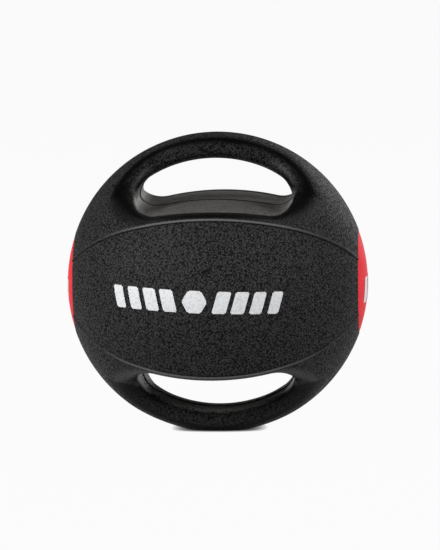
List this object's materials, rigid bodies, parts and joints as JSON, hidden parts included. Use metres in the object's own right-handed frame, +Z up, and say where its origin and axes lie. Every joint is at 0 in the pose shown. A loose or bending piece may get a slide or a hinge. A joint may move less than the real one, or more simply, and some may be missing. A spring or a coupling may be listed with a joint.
{
  "type": "medicine ball",
  "caption": "Round rubber medicine ball with a moulded handle and a hand slot at top and bottom, red side caps and loose sand ballast inside",
  "frame": {"origin": "centre of the small flat on the lower handle that the ball stands on", "axes": "+Z up through both handles, +X through the right side cap, -Y out of the front panel"},
  "size_m": [0.273, 0.2748, 0.2727],
  "materials": {
    "black_rubber": "fine leather-like grain, low sheen",
    "red_rubber": "smooth satin",
    "carcass_rubber": "matt",
    "butyl": "smooth matt",
    "sand": "dry grains",
    "handle_core": "satin"
  },
  "bodies": {
    "root": {"front_panel": "black_rubber", "rear_panel": "black_rubber", "upper_grip_front": "black_rubber", "upper_grip_rear": "black_rubber", "lower_grip_front": "black_rubber", "lower_grip_rear": "black_rubber", "left_cap": "red_rubber", "right_cap": "red_rubber", "carcass_front": "carcass_rubber", "carcass_rear": "carcass_rubber", "bladder": "butyl", "ballast": "sand", "inflation_valve": "butyl", "filler_plug": "carcass_rubber", "upper_handle_core": "handle_core", "lower_handle_core": "handle_core"}
  },
  "joints": []
}
